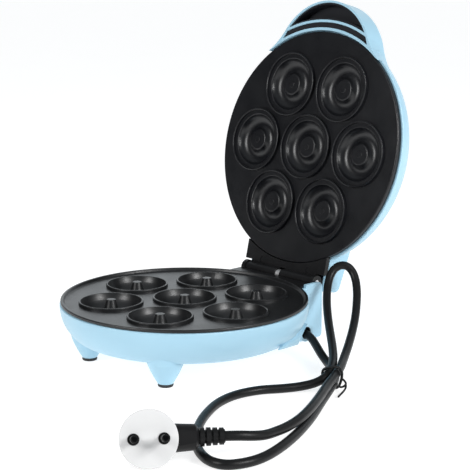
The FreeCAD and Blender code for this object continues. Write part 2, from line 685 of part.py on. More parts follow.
for s in (-1, 1):
    washers.append(cut("Washer%d" % (s + 2), rod("WasherOut%d" % (s + 2), 4.4, 0.3, (hinge_x + (36.55 if s > 0 else -36.85), hinge_y, hinge_z), ALONG_X),
                       rod("WasherIn%d" % (s + 2), pin_r, 3.0, (hinge_x + (35.2 if s > 0 else -38.2), hinge_y, hinge_z), ALONG_X)))
node("hinge_washers", group("Washers", washers))
hs = []
for s in (-1, 1):
    hs.append(fuse("BaseHingeScrew%d" % (s + 2), [rod("BaseHingeScrewHead%d" % (s + 2), 3.2, 1.0, (26.0 * s, 102.4, 41.9)),
                                                   rod("BaseHingeScrewShank%d" % (s + 2), 1.45, 9.0, (26.0 * s, 102.4, 33.0))]))
node("base_hinge_screws", group("BaseHingeScrews", hs))

# ---------------------------------------------------------------- lid hinge bracket (closed position)
tab = slab("LidTab", tab_x, 82.0, 99.6, 51.35, 55.4)
tab2 = slab("LidTabMiddle", barrel_x, 90.0, 101.0, 51.2, 55.6)
flange = slab("LidFlange", barrel_x, 90.0, 110.2, 55.5, 57.7)
arms = []
for i, (x0, x1) in enumerate(((hinge_x - barrel_x, q(-4.6)), (q(1.0), hinge_x + barrel_x))):
    arms.append(box("LidWeb%d" % i, (x0, 98.0, 51.2), (x1 - x0, hinge_y - 98.0, 4.4)))
    arms.append(rod("LidBarrel%d" % i, barrel_r, x1 - x0, (x0, hinge_y, hinge_z), ALONG_X))
lid_cuts = [rod("LidTabClear", 95.3, 30.0, (0, 0, 40.0)), rod("LidPinHole", pin_r + 0.05, 100.0, (-50.0, hinge_y, hinge_z), ALONG_X)]
for s in (-1, 1):
    lid_cuts.append(rod("LidScrewHole%d" % (s + 2), 1.9, 10.0, (26.0 * s, 98.2, 50.0)))
    lid_cuts.append(rod("LidScrewBore%d" % (s + 2), 2.9, 3.4, (26.0 * s, 98.2, 49.6)))
lid_bracket = cut("LidBracket", fuse("LidBracketSolid", [tab, tab2, flange] + arms), fuse("LidBracketCuts", lid_cuts))
node("lid_hinge_bracket", lid_bracket)

# ---------------------------------------------------------------- lid shell (closed position)
dome = turned_body("DomeOutside", [
    (0, dome_low), (dome_cr + 34.2, dome_low), (dome_cr + 34.7, dome_low + 0.5, 0.5, 1), (64.5, 86.3, dome_fr, 1), (0, dome_top, 900.0, 1)])
dome_in = turned_body("DomeInside", [
    (0, dome_low - 2), (93.0, dome_low - 2), (93.0, dome_low + 2.0), (94.2, dome_low + 3.2), (64.4, 84.1, dome_fr - wall, 1), (0, dome_top - wall, 897.8, 1)])
lid_block = side_body("LidBlockOutside", [
    (60.0, dome_low - 0.5), (111.0, dome_low - 0.5), (113.0, dome_low + 1.5, 2.0, 1), (113.0, 70.6), (107.9, 76.6, 5.6, 1), (60.0, 85.1)], block_x)
doc.recompute()


def block_top(e):
    c = e.CenterOfMass
    return abs(abs(c.x - hinge_x.v) - block_x.v) < 0.02 and e.BoundBox.XLength < 0.05 and (c.y > 112.5 or c.z > 72.0) and c.z > 58.0


lid_block_r = rounded("LidBlockRound", lid_block, 3.0, block_top)
lid_block_in = side_body("LidBlockInside", [
    (84.0, 50.0), (110.8, 50.0), (110.8, 70.0), (107.0, 74.2, 4.5, 1), (84.0, 78.4)], block_x - wall)
grip = rod("GripSolid", grip_r, grip_top - grip_low, (0, -grip_y, grip_low))
doc.recompute()
grip_round = rounded("GripRound", grip, 8.0, lambda e: len(e.Vertexes) == 1 and e.CenterOfMass.z > grip_top.v - 0.1)


def grip_patch(name, s):
    """Hollow sweep that joins one side of the grip to the dome."""
    rho = 60.0
    rings = []
    for z in (grip_low.v, 54.0, 57.5, 61.0, 64.5, 67.5, 69.6, 71.4, 72.9, 74.0, 74.8, 75.3, 75.46):
        r = dome_cr.v + math.sqrt(dome_fr.v ** 2 - max(z - dome_cz.v, 4.6) ** 2) - 0.05
        g = grip_r.v - 0.05
        if z > grip_top.v - 8.0:
            g -= 8.0 - math.sqrt(64.0 - (z - grip_top.v + 8.0) ** 2)
        cy = ((r + rho) ** 2 + grip_y.v ** 2 - (g + rho) ** 2) / (2.0 * grip_y.v)
        cx = math.sqrt((r + rho) ** 2 - cy ** 2)
        c = Vector(cx, -cy, z)
        k, h = r / (r + rho), g / (g + rho)
        a = Vector(cx * h, -grip_y.v + (grip_y.v - cy) * h, z)
        b = Vector(cx * k, -cy * k, z)
        d = (a + b) * 0.5 - c
        d.normalize()
        m = c + d * rho
        inner = Vector((a.x + b.x) * 0.5 - 6.0, (a.y + b.y) * 0.5 + 2.0, z)
        pts = [Vector(v.x * s, v.y, v.z) for v in (a, m, b, inner)]
        rings.append(Part.Wire([Part.Arc(pts[0], pts[1], pts[2]).toShape(), Part.LineSegment(pts[2], pts[3]).toShape(), Part.LineSegment(pts[3], pts[0]).toShape()]))
    return shaped(name, Part.makeLoft(rings, True, False))


keep = fuse("DomeKeep", [dome, rod("RimWallKeep", 98.2, 23.0, (0, 0, 40.0))])
grip_in_solid = rod("GripHollowSolid", grip_r - 1.7, grip_top - wall - 40.0, (0, -grip_y, 40.0))
doc.recompute()
grip_in_round = rounded("GripHollowRound", grip_in_solid, 6.0, lambda e: len(e.Vertexes) == 1 and e.CenterOfMass.z > grip_top.v - wall.v - 0.1)
grip_in = cut("GripHollow", grip_in_round, keep)
rim_sector = rod("RimWallOut", 98.2, 10.0, (0, 0, grip_low), Rotation(UP, -90.0 - 32.5), 65.0)
plate_room = rod("PlateRoom", 96.0, 30.0, (0, 0, dome_low - 30.0))
rib_out = rod("RibOut", 104.6, 24.0, (0, 0, grip_low))
rib_in = rod("RibIn", 102.6, 40.0, (0, 0, 45.0))
rib_in_grip = rod("RibLimit", grip_r - 0.5, 22.5, (0, -grip_y, grip_low))
rib = common("GripRib", [cut("RibRing", rib_out, rib_in), rib_in_grip, grip_round])
lid_outer = fuse("LidOutside", [dome, lid_block_r, grip_round, rim_sector, grip_patch("GripPatch1", -1), grip_patch("GripPatch2", 1)])
lid_inner = fuse("LidHollow", [dome_in, lid_block_in, grip_in, plate_room])
lid_hollow = cut("LidHollowed", lid_outer, lid_inner)
lamp_xy = [(-9.0, -62.0), (9.0, -62.0)]
lid_posts = [rod("LidPost%d" % (s + 2), 4.0, 22.0, (26.0 * s, 98.2, 57.7)) for s in (-1, 1)]
post_trim = common("LidPostTrim", [group("LidPosts", lid_posts), lid_block])
lid_holes = [rod("LampHole%d" % i, 3.0, 14.0, (x, y, 80.0)) for i, (x, y) in enumerate(lamp_xy)]
lid_holes += [rod("LidPostHole%d" % (s + 2), 1.5, 11.0, (26.0 * s, 98.2, 57.0)) for s in (-1, 1)]
lid_shell = cut("LidShell", fuse("LidShellSolid", [lid_hollow, rib, post_trim]), group("LidShellHoles", lid_holes))
node("lid_shell", lid_shell)

# ---------------------------------------------------------------- grip liners (closed position)
slot_ring = cut("SlotRing", rod("SlotRingOut", 102.4, 20.0, (0, 0, 52.0)), rod("SlotRingIn", 98.4, 30.0, (0, 0, 48.0)))
node("grip_slot_liner", common("SlotLiner", [slot_ring, rod("SlotLimit", grip_r - 1.9, 17.0, (0, -grip_y, 52.0))]))
tray_out = cut("TrayOut", rod("TrayDisc", grip_r - 1.9, 11.0, (0, -grip_y, 52.0)), rod("TrayBack", 104.8, 30.0, (0, 0, 45.0)))
tray_in = cut("TrayIn", rod("TrayHollow", grip_r - 3.1, 12.0, (0, -grip_y, 49.6)), rod("TrayHollowBack", 106.2, 30.0, (0, 0, 45.0)))
node("grip_liner", cut("GripLiner", tray_out, tray_in))

# ---------------------------------------------------------------- lid inner pieces (closed position)
lid_refl_holes = []
for i, a in enumerate(BOSS_DEG):
    x, y = spot(boss_ring, a)
    lid_refl_holes.append(rod("LidReflHole%d" % i, 2.2, 4.0, (x, y, lid_refl_z - 2)))
for i, a in enumerate((100.6, 79.4)):
    x, y = spot(ring_r, a)
    lid_refl_holes.append(rod("LidReflEnd%d" % i, 2.6, 4.0, (x, y, lid_refl_z - 2)))
node("lid_heat_reflector", cut("LidReflector", rod("LidReflDisc", 84.0, refl_t, (0, 0, lid_refl_z)), group("LidReflHoles", lid_refl_holes)))
node("lid_heating_element", heater("LidHeater", lid_heat_z, lid_heat_z, q(76.0)))
ls = []
for i, a in enumerate(BOSS_DEG):
    x, y = spot(boss_ring, a)
    ls.append(fuse("LidScrew%d" % i, [rod("LidScrewHead%d" % i, 3.7, 2.4, (x, y, lid_refl_z + refl_t)), rod("LidScrewShank%d" % i, 1.95, 13.0, (x, y, lid_refl_z - 12.0))]))
node("lid_plate_screws", group("LidScrews", ls))
lw = []
for i, s in enumerate((-1, 1)):
    ex, ey = spot(57.0, 90.0 - s * 10.6)
    lw.append(shaped("LidWire%d" % i, tube([(ex, ey + 2.95, 75.0), (s * 10.2, 70.0, 75.4), (s * 10.0, 88.0, 74.6), (s * 9.0, 99.0, 69.0), (s * 8.0, 104.0, 58.4)], 1.1)[0]))
node("lid_wiring", group("LidWires", lw))
lhs = []
for s in (-1, 1):
    lhs.append(fuse("LidHingeScrew%d" % (s + 2), [rod("LidHingeScrewHead%d" % (s + 2), 2.7, 1.5, (26.0 * s, 98.2, 51.5)),
                                                   rod("LidHingeScrewShank%d" % (s + 2), 1.45, 14.0, (26.0 * s, 98.2, 52.5))]))
node("lid_hinge_screws", group("LidHingeScrews", lhs))
lamps = []
for i, (x, y) in enumerate(lamp_xy):
    lamps.append(fuse("Lamp%d" % i, [rod("LampStem%d" % i, 3.0, 6.0, (x, y, 81.2)), rod("LampCollar%d" % i, 4.2, 1.4, (x, y, 81.2))]))
node("power_lamp", lamps[0])
node("ready_lamp", lamps[1])

# ---------------------------------------------------------------- cord and plug
route = [
    (51.0, 69.5, 20.6), (58.6, 69.5, 20.6), (69.0, 68.8, 18.6), (79.4, 63.7, 15.0), (88.5, 59.1, 11.6), (95.0, 57.3, 8.4),
    (102.4, 54.0, 6.4), (112.4, 46.3, 6.5), (124.5, 36.3, 7.5), (134.3, 24.0, 7.6), (142.8, 8.7, 6.4), (154.8, -12.6, 5.5),
    (170.0, -37.3, 5.5), (182.5, -61.2, 5.5), (192.4, -84.0, 5.5), (198.8, -103.9, 5.5), (200.8, -117.7, 5.5), (199.0, -129.3, 5.5),
    (193.8, -139.6, 5.5), (182.9, -142.4, 5.5), (169.7, -138.1, 5.5), (157.0, -130.1, 5.5), (144.4, -119.2, 5.5), (129.8, -104.0, 5.5),
    (116.9, -86.0, 5.5), (105.0, -64.2, 5.5), (100.4, -43.1, 5.5), (104.5, -22.8, 5.5), (114.0, -8.8, 5.5), (120.8, 3.2, 5.9),
    (126.4, 12.9, 7.6), (129.9, 19.4, 11.2), (125.6, 30.3, 13.8), (115.9, 43.3, 15.8), (102.1, 57.3, 20.1), (87.7, 70.2, 25.5),
    (74.6, 81.8, 32.0), (63.7, 92.0, 39.7), (55.9, 100.6, 47.9), (51.9, 107.3, 56.0), (51.8, 112.3, 62.0), (54.6, 116.7, 65.4),
    (58.8, 120.8, 64.9), (63.0, 122.9, 60.4), (67.8, 121.4, 53.9), (73.6, 116.4, 46.4), (80.2, 108.5, 39.4), (88.1, 98.3, 32.8),
    (97.7, 84.4, 26.4), (108.7, 67.6, 20.7), (119.5, 50.5, 16.5), (130.7, 34.4, 15.0), (139.2, 18.3, 14.2), (148.2, 0.4, 13.1),
    (159.7, -18.9, 12.7), (171.8, -41.1, 12.4), (180.1, -60.3, 12.0), (184.1, -75.8, 11.7), (185.8, -88.6, 12.1), (188.1, -99.9, 13.4),
    (187.1, -110.7, 15.4), (183.7, -119.1, 16.9), (178.5, -125.7, 16.9)]
cord_shape, cord_len, cord_radii = tube(route, cord_d.v / 2)
node("power_cord", shaped("PowerCord", cord_shape))
print("cord length %.1f, volume %.1f of %.1f" % (cord_len, cord_shape.Volume, math.pi * cord_d.v ** 2 / 4 * cord_len))
print("cord radii", " ".join("%.1f" % r for r in cord_radii))

# Plug frame: origin at the middle of the face, z out along the pins, x along the neck.
tilt = math.radians(20.4)
neck = Vector(0.6, 0.8, 0.0)
out = Vector(0.8 * math.cos(tilt), -0.6 * math.cos(tilt), math.sin(tilt))
neck_in = 9.0
face_mid = Vector(*route[-1]) - neck * 48.0 + out * neck_in
plug_at = Placement(face_mid, Rotation(neck, out.cross(neck), out, "ZXY"))


def on_plug(label, obj):
    obj.Placement = plug_at
    return node(label, obj)


half_gap = pin_gap * 0.5
pins, sleeves, pin_rooms, sleeve_rooms = [], [], [], []
for i, s in enumerate((-1, 1)):
    x = half_gap * s
    pins.append(fuse("PlugPin%d" % i, [rod("PlugPinRod%d" % i, plug_pin_r, plug_pin_l + 4.6, (x, 0, -6.0)),
                                       cone("PlugPinTip%d" % i, plug_pin_r, plug_pin_r - 0.9, 1.4, (x, 0, plug_pin_l - 1.4))]))
    sleeves.append(cut("PlugSleeve%d" % i, rod("PlugSleeveOut%d" % i, 3.7, face_t + 0.5, (x, 0, -face_t)),
                       rod("PlugSleeveIn%d" % i, plug_pin_r, 8.0, (x, 0, -4.0))))
    pin_rooms.append(rod("PlugPinRoom%d" % i, plug_pin_r, 6.0, (x, 0, -6.0)))
    sleeve_rooms.append(rod("PlugSleeveRoom%d" % i, 3.7, 6.0, (x, 0, -3.0)))
on_plug("plug_pins", group("PlugPins", pins))
on_plug("plug_pin_sleeves", group("PlugSleeves", sleeves))
disc = rod("PlugFaceDisc", face_r, face_t, (0, 0, -face_t))
doc.recompute()
disc_r = rounded("PlugFaceRound", disc, 0.7, lambda e: len(e.Vertexes) == 1 and e.CenterOfMass.z > -0.1)
on_plug("plug_face", cut("PlugFace", disc_r, group("PlugSleeveRooms", sleeve_rooms)))
shell_back = cone("PlugBack", 12.0, face_r - 0.3, 17.0 - face_t, (0, 0, -17.0))
doc.recompute()
shell_back_r = rounded("PlugBackRound", shell_back, 2.5, lambda e: len(e.Vertexes) == 1 and e.CenterOfMass.z < -16.5)
neck1 = cone("PlugNeck", 9.7, 8.2, 23.5, (6.0, 0, -neck_in), ALONG_X)
neck2 = cone("PlugNeckEnd", 8.2, 5.6, 2.0, (29.5, 0, -neck_in), ALONG_X)
neck_trim = box("PlugNeckTrim", (0, -30.0, -face_t), (60.0, 60.0, 20.0))
neck_solid = cut("PlugNeckCut", fuse("PlugNeckSolid", [neck1, neck2]), neck_trim)
on_plug("plug_body", cut("PlugBody", fuse("PlugBodySolid", [shell_back_r, neck_solid]), group("PlugPinRooms", pin_rooms)))
ribs = [rod("ReliefCore", 4.3, 16.5, (31.5, 0, -neck_in), ALONG_X)]
for i in range(4):
    ribs.append(rod("ReliefRib%d" % i, 6.0 - 0.2 * i, 2.7, (32.2 + 4.1 * i, 0, -neck_in), ALONG_X))
on_plug("plug_strain_relief", fuse("StrainRelief", ribs))

# ---------------------------------------------------------------- cord tie
# A wire tie round the three strands where they cross, with one curled end.
mid = Vector(133.0, 24.5, 0.0)
across = Vector(0.98475, 0.17396, 0.0)
loop = []
for cx, cz, rx, rz, degs in ((0.55, 7.49, 4.75, 4.36, (231, 255, 283, 311, 341)), (2.72, 14.53, 4.62, 4.62, (-15, 20, 60, 105)), (-4.85, 12.22, 4.62, 4.62, (109, 140, 180, 226))):
    for a in degs:
        t = math.radians(a)
        loop.append(mid + across * (cx + rx * math.cos(t)) + Vector(0, 0, cz + rz * math.sin(t)))
tie_curve = Part.BSplineCurve()
tie_curve.interpolate(Points=loop, PeriodicFlag=True)
tie_edge = tie_curve.toShape()
t0 = tie_curve.tangent(tie_curve.FirstParameter)[0]
tie_ring = Part.Wire([tie_edge]).makePipeShell([Part.Wire([Part.Circle(tie_curve.value(tie_curve.FirstParameter), t0, 1.0).toShape()])], True, False)
tie_tails = []
for tail in ([Vector(139.9, 25.7, 11.4), Vector(142.0, 26.4, 10.0), Vector(143.4, 26.4, 8.2), Vector(143.2, 24.9, 6.8), Vector(140.4, 23.4, 5.8)],
             [Vector(143.3, 26.2, 8.4), Vector(144.2, 25.6, 6.7), Vector(146.0, 22.0, 5.0), Vector(147.6, 17.0, 3.9), Vector(149.4, 12.0, 3.2)]):
    tail_curve = Part.BSplineCurve()
    tail_curve.interpolate(Points=tail)
    t0 = tail_curve.tangent(tail_curve.FirstParameter)[0]
    tie_tails.append(Part.Wire([tail_curve.toShape()]).makePipeShell([Part.Wire([Part.Circle(tail[0], t0, 0.75).toShape()])], True, False))
tie_parts = []
for s in [tie_ring] + tie_tails:
    s = s if s.ShapeType == "Solid" else s.Solids[0]
    if s.Volume < 0:
        s.reverse()
    tie_parts.append(s)
tie_shape = tie_parts[0].fuse(tie_parts[1:])
node("cord_tie", shaped("CordTie", tie_shape.Solids[0] if len(tie_shape.Solids) == 1 else tie_shape))

# ---------------------------------------------------------------- lid stands open
swing = Rotation(Vector(1, 0, 0), -open_deg.v)
pivot = Vector(0, hinge_y.v, hinge_z.v)
opened = Placement(pivot - swing.multVec(pivot), swing)
LID = ("lid_shell", "grip_liner", "grip_slot_liner", "lid_plate", "lid_heating_element", "lid_heat_reflector", "lid_plate_screws",
       "lid_wiring", "lid_hinge_bracket", "lid_hinge_screws", "power_lamp", "ready_lamp")
doc.recompute()
to_origin = Placement(Vector(0, -origin_y.v, -table_z.v), Rotation())
for label, obj in nodes:
    for ax in "xyz":
        obj.setExpression("Placement.Base." + ax, None)
    at = opened.multiply(obj.Placement) if label in LID else obj.Placement
    obj.Placement = to_origin.multiply(at)
doc.recompute()

# ---------------------------------------------------------------- checks and files
bad = []
for o in doc.Objects:
    st = [s for s in o.State if s in ("Invalid", "Error")]
    if st:
        bad.append("%s %s" % (o.Name, st))
for label, obj in nodes:
    s = obj.Shape
    if s.isNull() or not s.isValid() or not s.Solids or s.Volume <= 0:
        bad.append("%s shape" % label)
if bad:
    raise RuntimeError("failed objects: " + "; ".join(bad))
os.makedirs("parts", exist_ok=True)
for label, obj in nodes:
    s = obj.Shape
    s.exportStep("parts/%s.step" % label)
    bb = s.BoundBox
    print("%-22s solids %d volume %10.1f  x %.1f..%.1f y %.1f..%.1f z %.1f..%.1f" % (
        label, len(s.Solids), s.Volume, bb.XMin, bb.XMax, bb.YMin, bb.YMax, bb.ZMin, bb.ZMax))
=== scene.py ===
import json
import math

import bpy
from mathutils import Matrix, Vector


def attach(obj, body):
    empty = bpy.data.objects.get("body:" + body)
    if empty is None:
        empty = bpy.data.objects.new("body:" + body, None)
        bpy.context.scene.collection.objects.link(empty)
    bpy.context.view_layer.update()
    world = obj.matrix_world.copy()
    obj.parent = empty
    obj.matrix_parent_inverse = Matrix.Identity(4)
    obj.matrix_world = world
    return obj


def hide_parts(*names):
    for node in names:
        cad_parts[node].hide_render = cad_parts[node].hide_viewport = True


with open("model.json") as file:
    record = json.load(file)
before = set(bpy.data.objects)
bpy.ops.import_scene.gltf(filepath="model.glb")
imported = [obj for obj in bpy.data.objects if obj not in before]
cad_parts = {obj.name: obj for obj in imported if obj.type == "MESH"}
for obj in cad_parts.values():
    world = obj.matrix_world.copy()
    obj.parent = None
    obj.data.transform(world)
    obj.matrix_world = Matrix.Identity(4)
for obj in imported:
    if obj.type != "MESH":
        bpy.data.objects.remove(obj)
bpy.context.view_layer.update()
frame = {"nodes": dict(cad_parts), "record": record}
nodes = frame["nodes"]
scene = bpy.context.scene
scene.view_settings.view_transform = "Standard"
scene.view_settings.look = "None"
scene.view_settings.exposure = 0.0
scene.view_settings.gamma = 1.0


# ---------------------------------------------------------------- camera
def place_camera():
    turn, rise, roll = math.radians(46.28), math.radians(12.21), math.radians(0.10)
    back = Vector((math.sin(turn) * math.cos(rise), -math.cos(turn) * math.cos(rise), math.sin(rise)))
    right = Vector((math.cos(turn), math.sin(turn), 0.0))
    up = back.cross(right)
    r = right * math.cos(roll) + up * math.sin(roll)
    u = up * math.cos(roll) - right * math.sin(roll)
    data = bpy.data.cameras.new("camera")
    data.sensor_width = 36.0
    data.lens = 108.14
    data.clip_start, data.clip_end = 0.05, 100.0
    data.dof.use_dof = False
    cam = bpy.data.objects.new("camera", data)
    scene.collection.objects.link(cam)
    m = Matrix((r, u, back)).transposed().to_4x4()
    m.translation = Vector((0.7863, -0.74227, 0.3239))
    cam.matrix_world = m
    scene.camera = cam


place_camera()


# ---------------------------------------------------------------- materials
class Shader:
    """A small builder for one procedural material."""

    def __init__(self, name):
        self.m = bpy.data.materials.new(name)
        self.m.use_nodes = True
        self.t = self.m.node_tree
        self.p = self.t.nodes["Principled BSDF"]
        self.co = self.t.nodes.new("ShaderNodeTexCoord").outputs["Object"]

    def set(self, **values):
        for k, v in values.items():
            self.p.inputs[k.replace("_", " ")].default_value = v
        return self

    def join(self, a, b):
        self.t.links.new(a, b)

    def noise(self, scale, detail=2.0, rough=0.5, stretch=None):
        n = self.t.nodes.new("ShaderNodeTexNoise")
        n.inputs["Scale"].default_value = scale
        n.inputs["Detail"].default_value = detail
        n.inputs["Roughness"].default_value = rough
        self.join(self.scaled(stretch), n.inputs["Vector"])
        return n.outputs["Fac"]

    def cells(self, scale, feature="F1"):
        n = self.t.nodes.new("ShaderNodeTexVoronoi")
        n.feature = feature
        n.inputs["Scale"].default_value = scale
        self.join(self.co, n.inputs["Vector"])
        return n.outputs["Distance"]

    def scaled(self, stretch):
        if stretch is None:
            return self.co
        n = self.t.nodes.new("ShaderNodeMapping")
        n.inputs["Scale"].default_value = stretch
        self.join(self.co, n.inputs["Vector"])
        return n.outputs["Vector"]

    def ramp(self, fac, lo, hi, out_lo=0.0, out_hi=1.0):
        n = self.t.nodes.new("ShaderNodeMapRange")
        n.inputs["From Min"].default_value = lo
        n.inputs["From Max"].default_value = hi
        n.inputs["To Min"].default_value = out_lo
        n.inputs["To Max"].default_value = out_hi
        self.join(fac, n.inputs["Value"])
        return n.outputs["Result"]

    def math(self, op, a, b):
        n = self.t.nodes.new("ShaderNodeMath")
        n.operation = op
        for i, v in enumerate((a, b)):
            if isinstance(v, (int, float)):
                n.inputs[i].default_value = v
            else:
                self.join(v, n.inputs[i])
        return n.outputs[0]

    def mix(self, fac, a, b):
        n = self.t.nodes.new("ShaderNodeMix")
        n.data_type = "RGBA"
        self.join(fac, n.inputs["Factor"])
        for v, s in ((a, n.inputs[6]), (b, n.inputs[7])):
            if isinstance(v, tuple):
                s.default_value = (*v, 1.0)
            else:
                self.join(v, s)
        return n.outputs[2]

    def colour(self, socket):
        self.join(socket, self.p.inputs["Base Color"])
        return self

    def rough(self, socket):
        self.join(socket, self.p.inputs["Roughness"])
        return self

    def bump(self, height, strength, distance):
        n = self.t.nodes.new("ShaderNodeBump")
        n.inputs["Strength"].default_value = strength
        n.inputs["Distance"].default_value = distance
        self.join(height, n.inputs["Height"])
        self.join(n.outputs["Normal"], self.p.inputs["Normal"])
        return self


def moulded(name, a, b, rough, grain=1500.0, depth=0.00006, spread=0.05, patch=30.0, spec=0.5):
    """Moulded plastic or rubber: two close shades in soft patches, an eroded mould grain."""
    s = Shader(name).set(Specular_IOR_Level=spec)
    s.colour(s.mix(s.ramp(s.noise(patch, 3.0), 0.3, 0.7), a, b))
    g = s.noise(grain, 3.0, 0.6)
    s.rough(s.ramp(s.math("ADD", s.noise(patch * 4.0, 2.0), g), 0.6, 1.4, rough - spread, rough + spread))
    return s.bump(g, 0.35, depth).m


def coated(name, a, b, rough, spec=0.5):
    """Sprayed non-stick coat on cast metal: fine orange peel and faint specks."""
    s = Shader(name).set(Specular_IOR_Level=spec, IOR=1.37)
    speck = s.ramp(s.cells(1400.0), 0.05, 0.22, 1.0, 0.0)
    tone = s.mix(s.ramp(s.noise(22.0, 3.0), 0.3, 0.7), a, b)
    s.colour(s.mix(s.math("MULTIPLY", speck, 0.35), tone, tuple(min(1.0, c * 2.2 + 0.004) for c in b)))
    peel = s.noise(900.0, 3.0, 0.55)
    s.rough(s.ramp(s.math("ADD", s.noise(60.0, 3.0), peel), 0.6, 1.4, rough - 0.05, rough + 0.06))
    return s.bump(peel, 0.4, 0.00005).m


def metal(name, a, b, rough, stretch=(4.0, 1.0, 1.0), scale=500.0):
    """Drawn or stamped metal with fine streaks."""
    s = Shader(name).set(Metallic=1.0)
    streak = s.noise(scale, 4.0, 0.65, stretch)
    s.colour(s.mix(s.ramp(streak, 0.3, 0.7), a, b))
    s.rough(s.ramp(streak, 0.3, 0.7, rough - 0.06, rough + 0.08))
    return s.bump(streak, 0.25, 0.00003).m


def lens(name, a, b):
    s = Shader(name).set(Roughness=0.12, IOR=1.49, Transmission_Weight=0.55, Coat_Weight=0.4)
    s.colour(s.mix(s.ramp(s.noise(260.0, 2.0), 0.3, 0.7), a, b))
    return s.bump(s.cells(700.0), 0.2, 0.0001).m


LOOKS = {
    "shell": moulded("shell_blue", (0.360, 0.586, 0.722), (0.375, 0.602, 0.737), 0.36, 1900.0, 0.00004),
    "foot_rubber": moulded("foot_rubber", (0.012, 0.012, 0.013), (0.020, 0.020, 0.022), 0.62, 1200.0, 0.00010),
    "base_plate": coated("base_plate_coat", (0.0070, 0.0074, 0.0082), (0.0105, 0.0110, 0.0120), 0.35, 0.85),
    "lid_plate": coated("lid_plate_coat", (0.0040, 0.0044, 0.0060), (0.0064, 0.0069, 0.0088), 0.32, 0.80),
    "heater": metal("heater_sheath", (0.36, 0.35, 0.34), (0.46, 0.44, 0.42), 0.38),
    "reflector": metal("reflector_sheet", (0.70, 0.70, 0.71), (0.80, 0.80, 0.81), 0.24),
    "screw": metal("screw_steel", (0.44, 0.44, 0.45), (0.55, 0.55, 0.56), 0.32),
    "thermostat": moulded("thermostat_body", (0.055, 0.040, 0.032), (0.072, 0.054, 0.043), 0.45),
    "fuse": moulded("fuse_sleeve", (0.58, 0.55, 0.48), (0.66, 0.63, 0.56), 0.6),
    "wiring": moulded("wire_sleeve", (0.52, 0.50, 0.44), (0.60, 0.58, 0.52), 0.55),
    "black_plastic": moulded("clamp_black", (0.014, 0.014, 0.015), (0.020, 0.020, 0.021), 0.45),
    "bushing": moulded("bushing_black", (0.010, 0.010, 0.011), (0.015, 0.015, 0.016), 0.55),
    "hinge_black": moulded("hinge_black", (0.006, 0.006, 0.0068), (0.010, 0.010, 0.011), 0.36, 1500.0, 0.00004, spec=0.3),
    "bright_steel": metal("bright_steel", (0.86, 0.86, 0.87), (0.92, 0.92, 0.93), 0.42),
    "cord": moulded("cord_black", (0.0050, 0.0050, 0.0053), (0.0075, 0.0075, 0.0079), 0.38, 1300.0, 0.00005, spec=0.22),
    "tie": moulded("tie_black", (0.005, 0.005, 0.0055), (0.008, 0.008, 0.0085), 0.42, spec=0.28),
    "plug_black": moulded("plug_black", (0.0055, 0.0055, 0.0060), (0.0080, 0.0080, 0.0085), 0.44, 1300.0, 0.00006, spec=0.2),
    "plug_white": moulded("plug_face_white", (0.675, 0.675, 0.675), (0.692, 0.692, 0.692), 0.6, 1500.0, 0.00004, spec=0.2),
    # plug pins: dark-plated metal, darkened further to near black as painted shade for the shadowed pin ends
    "plug_pin": metal("plug_pin_dark_painted_shade", (0.004, 0.004, 0.0045), (0.007, 0.007, 0.0075), 0.50),
    # grip_black: near-black liners set in the grip's hollow underside and slot, painted shade standing in for the
    # shadow inside the hollow
    "grip_black": moulded("grip_black", (0.006, 0.007, 0.010), (0.010, 0.011, 0.015), 0.5, spec=0.3),
    "lamp_red": lens("lamp_red", (0.50, 0.020, 0.015), (0.62, 0.035, 0.025)),
    "lamp_green": lens("lamp_green", (0.03, 0.38, 0.06), (0.05, 0.50, 0.09)),
}
slot_of = {s["node"]: s["material_slot"] for s in frame["record"]["subparts"]}
for name, ob in nodes.items():
    look = LOOKS[slot_of[name]]
    if not ob.material_slots:
        ob.data.materials.append(look)
    for ms in ob.material_slots:
        ms.material = look


# ---------------------------------------------------------------- the mains lead
ROUTE = [
    (51.0, 25.73, 18.5), (58.6, 25.73, 18.5), (69.0, 25.03, 16.5), (79.4, 19.93, 12.9), (88.5, 15.33, 9.5),
    (95.0, 13.53, 6.3), (102.4, 10.23, 4.3), (112.4, 2.53, 4.4), (124.5, -7.47, 5.4), (134.3, -19.77, 5.5),
    (142.8, -35.07, 4.3), (154.8, -56.37, 3.4), (170.0, -81.07, 3.4), (182.5, -104.97, 3.4), (192.4, -127.77, 3.4),
    (198.8, -147.67, 3.4), (200.8, -161.47, 3.4), (199.0, -173.07, 3.4), (193.8, -183.37, 3.4), (182.9, -186.17, 3.4),
    (169.7, -181.87, 3.4), (157.0, -173.87, 3.4), (144.4, -162.97, 3.4), (129.8, -147.77, 3.4), (116.9, -129.77, 3.4),
    (105.0, -107.97, 3.4), (100.4, -86.87, 3.4), (104.5, -66.57, 3.4), (114.0, -52.57, 3.4), (120.8, -40.57, 3.8),
    (126.4, -30.87, 5.5), (129.9, -24.37, 9.1), (125.6, -13.47, 11.7), (115.9, -0.47, 13.7), (102.1, 13.53, 18.0),
    (87.7, 26.43, 23.4), (74.6, 38.03, 29.9), (63.7, 48.23, 37.6), (55.9, 56.83, 45.8), (51.9, 63.53, 53.9),
    (51.8, 68.53, 59.9), (54.6, 72.93, 63.3), (58.8, 77.03, 62.8), (63.0, 79.13, 58.3), (67.8, 77.63, 51.8),
    (73.6, 72.63, 44.3), (80.2, 64.73, 37.3), (88.1, 54.53, 30.7), (97.7, 40.63, 24.3), (108.7, 23.83, 18.6),
    (119.5, 6.73, 14.4), (130.7, -9.37, 12.9), (139.2, -25.47, 12.1), (148.2, -43.37, 11.0), (159.7, -62.67, 10.6),
    (171.8, -84.87, 10.3), (180.1, -104.07, 9.9), (184.1, -119.57, 9.6), (185.8, -132.37, 10.0), (188.1, -143.67, 11.3),
    (187.1, -154.47, 13.3), (183.7, -162.87, 14.8), (178.5, -169.47, 14.8),
]


